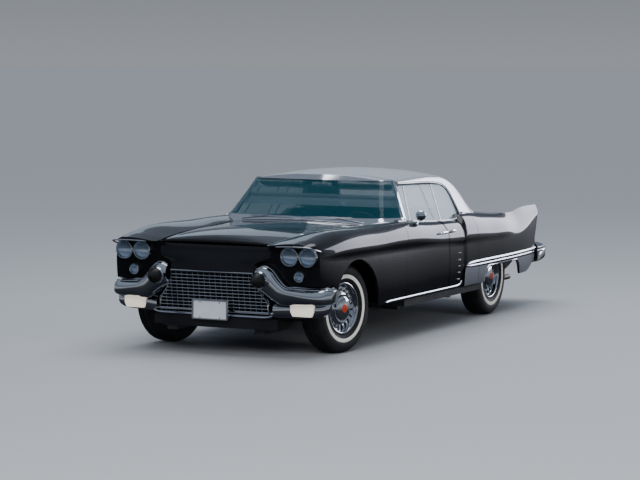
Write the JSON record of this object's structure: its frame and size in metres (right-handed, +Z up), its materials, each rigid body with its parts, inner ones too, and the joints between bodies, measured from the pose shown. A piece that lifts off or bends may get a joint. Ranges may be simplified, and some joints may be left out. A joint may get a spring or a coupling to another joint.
{
  "type": "1950s luxury four-door hardtop car",
  "caption": "Full-size finned hardtop with paired headlamps, egg-crate grille, opening doors, hood and trunk lid, steered front wheels and rolling tyres.",
  "frame": {"origin": "on the floor, under the middle of the car's overall box", "axes": "-Y toward the front bumper, +X toward the car's left side, +Z up"},
  "size_m": [1.9934, 5.4858, 1.41],
  "materials": {
    "body_black": "gloss",
    "roof_steel": "brushed",
    "chrome": "polished",
    "glass": "gloss",
    "lamp_glass": "gloss",
    "red_lens": "gloss",
    "tyre": "matte",
    "rubber": "matte",
    "wheel_metal": "polished",
    "frame_steel": "satin",
    "floor_paint": "satin",
    "cast_iron": "matte",
    "pipe_steel": "matte",
    "seat_leather": "satin",
    "trim_plastic": "matte"
  },
  "bodies": {
    "car_body": {"backlight": "glass", "bumper_front": "chrome", "bumper_rear": "chrome", "bumper_tips": "rubber", "chassis_frame": "frame_steel", "cowl": "body_black", "dashboard": "trim_plastic", "engine": "cast_iron", "exhaust": "pipe_steel", "fender_left": "body_black", "fender_right": "body_black", "floor_pan": "floor_paint", "front_seat": "seat_leather", "front_suspension": "frame_steel", "front_valance": "floor_paint", "fuel_tank": "frame_steel", "grille": "chrome", "headlamps": "lamp_glass", "lamp_bezels": "chrome", "nose_panel": "body_black", "parking_lamps": "lamp_glass", "plate_holder": "chrome", "quarter_left": "body_black", "quarter_right": "body_black", "radiator": "frame_steel", "rear_axle": "cast_iron", "rear_deck": "body_black", "rear_seat": "seat_leather", "rear_view_mirror": "chrome", "roof": "roof_steel", "tail_lamps": "red_lens", "windshield": "glass", "windshield_frame": "chrome"},
    "wheel_rear_left": {"wheel_rear_left": "wheel_metal", "tyre_rear_left": "tyre"},
    "wheel_front_left": {"wheel_front_left": "wheel_metal", "tyre_front_left": "tyre"},
    "knuckle_left": {"knuckle_left": "cast_iron"},
    "door_front_left": {"door_front_left": "body_black", "glass_front_left": "glass", "door_mirror": "chrome"},
    "door_rear_left": {"door_rear_left": "body_black", "glass_rear_left": "glass"},
    "wheel_rear_right": {"wheel_rear_right": "wheel_metal", "tyre_rear_right": "tyre"},
    "wheel_front_right": {"wheel_front_right": "wheel_metal", "tyre_front_right": "tyre"},
    "knuckle_right": {"knuckle_right": "cast_iron"},
    "door_front_right": {"door_front_right": "body_black", "glass_front_right": "glass"},
    "door_rear_right": {"door_rear_right": "body_black", "glass_rear_right": "glass"},
    "hood": {"hood": "body_black"},
    "trunk_lid": {"trunk_lid": "body_black"},
    "steering_wheel": {"steering_wheel": "trim_plastic"}
  },
  "joints": [
    {"name": "steer_left", "type": "hinge", "parent": "car_body", "child": "knuckle_left", "pos_m": [0.668, -1.867, 0.366], "axis": [0, 0, 1], "range_deg": [-25.6, 44.3]},
    {"name": "spin_front_left", "type": "hinge", "parent": "knuckle_left", "child": "wheel_front_left", "pos_m": [0.77309, -1.8843, 0.366], "axis": [0.9867, -0.1625, 0], "continuous": true},
    {"name": "spin_rear_left", "type": "hinge", "parent": "car_body", "child": "wheel_rear_left", "pos_m": [0.7745, 1.333, 0.366], "axis": [1, 0, 0], "continuous": true},
    {"name": "door_front_left_swing", "type": "hinge", "parent": "car_body", "child": "door_front_left", "pos_m": [0.985, -0.897, 0.6], "axis": [0, 0, -1], "range_deg": [0, 62]},
    {"name": "door_rear_left_swing", "type": "hinge", "parent": "car_body", "child": "door_rear_left", "pos_m": [0.9995, 0.694, 0.6], "axis": [0, 0, 1], "range_deg": [0, 62]},
    {"name": "steer_right", "type": "hinge", "parent": "car_body", "child": "knuckle_right", "pos_m": [-0.668, -1.867, 0.366], "axis": [0, 0, 1], "range_deg": [-25.6, 44.3]},
    {"name": "spin_front_right", "type": "hinge", "parent": "knuckle_right", "child": "wheel_front_right", "pos_m": [-0.77309, -1.8497, 0.366], "axis": [0.9867, -0.1625, 0], "continuous": true},
    {"name": "spin_rear_right", "type": "hinge", "parent": "car_body", "child": "wheel_rear_right", "pos_m": [-0.7745, 1.333, 0.366], "axis": [1, 0, 0], "continuous": true},
    {"name": "door_front_right_swing", "type": "hinge", "parent": "car_body", "child": "door_front_right", "pos_m": [-0.985, -0.897, 0.6], "axis": [0, 0, 1], "range_deg": [0, 62]},
    {"name": "door_rear_right_swing", "type": "hinge", "parent": "car_body", "child": "door_rear_right", "pos_m": [-0.9995, 0.694, 0.6], "axis": [0, 0, -1], "range_deg": [0, 62]},
    {"name": "hood_lift", "type": "hinge", "parent": "car_body", "child": "hood", "pos_m": [0, -1.074, 1.012], "axis": [-1, 0, 0], "range_deg": [0, 48]},
    {"name": "trunk_lift", "type": "hinge", "parent": "car_body", "child": "trunk_lid", "pos_m": [0, 1.158, 0.975], "axis": [1, 0, 0], "range_deg": [0, 62]},
    {"name": "steering_turn", "type": "hinge", "parent": "car_body", "child": "steering_wheel", "pos_m": [0.39, -0.56, 0.85], "axis": [0, 0.9341, 0.3571], "range_deg": [-490, 850]}
  ],
  "couplings": [
    {"joint": "steer_right", "follows": "steer_left", "ratio": 1},
    {"joint": "steering_turn", "follows": "steer_left", "ratio": 19}
  ]
}
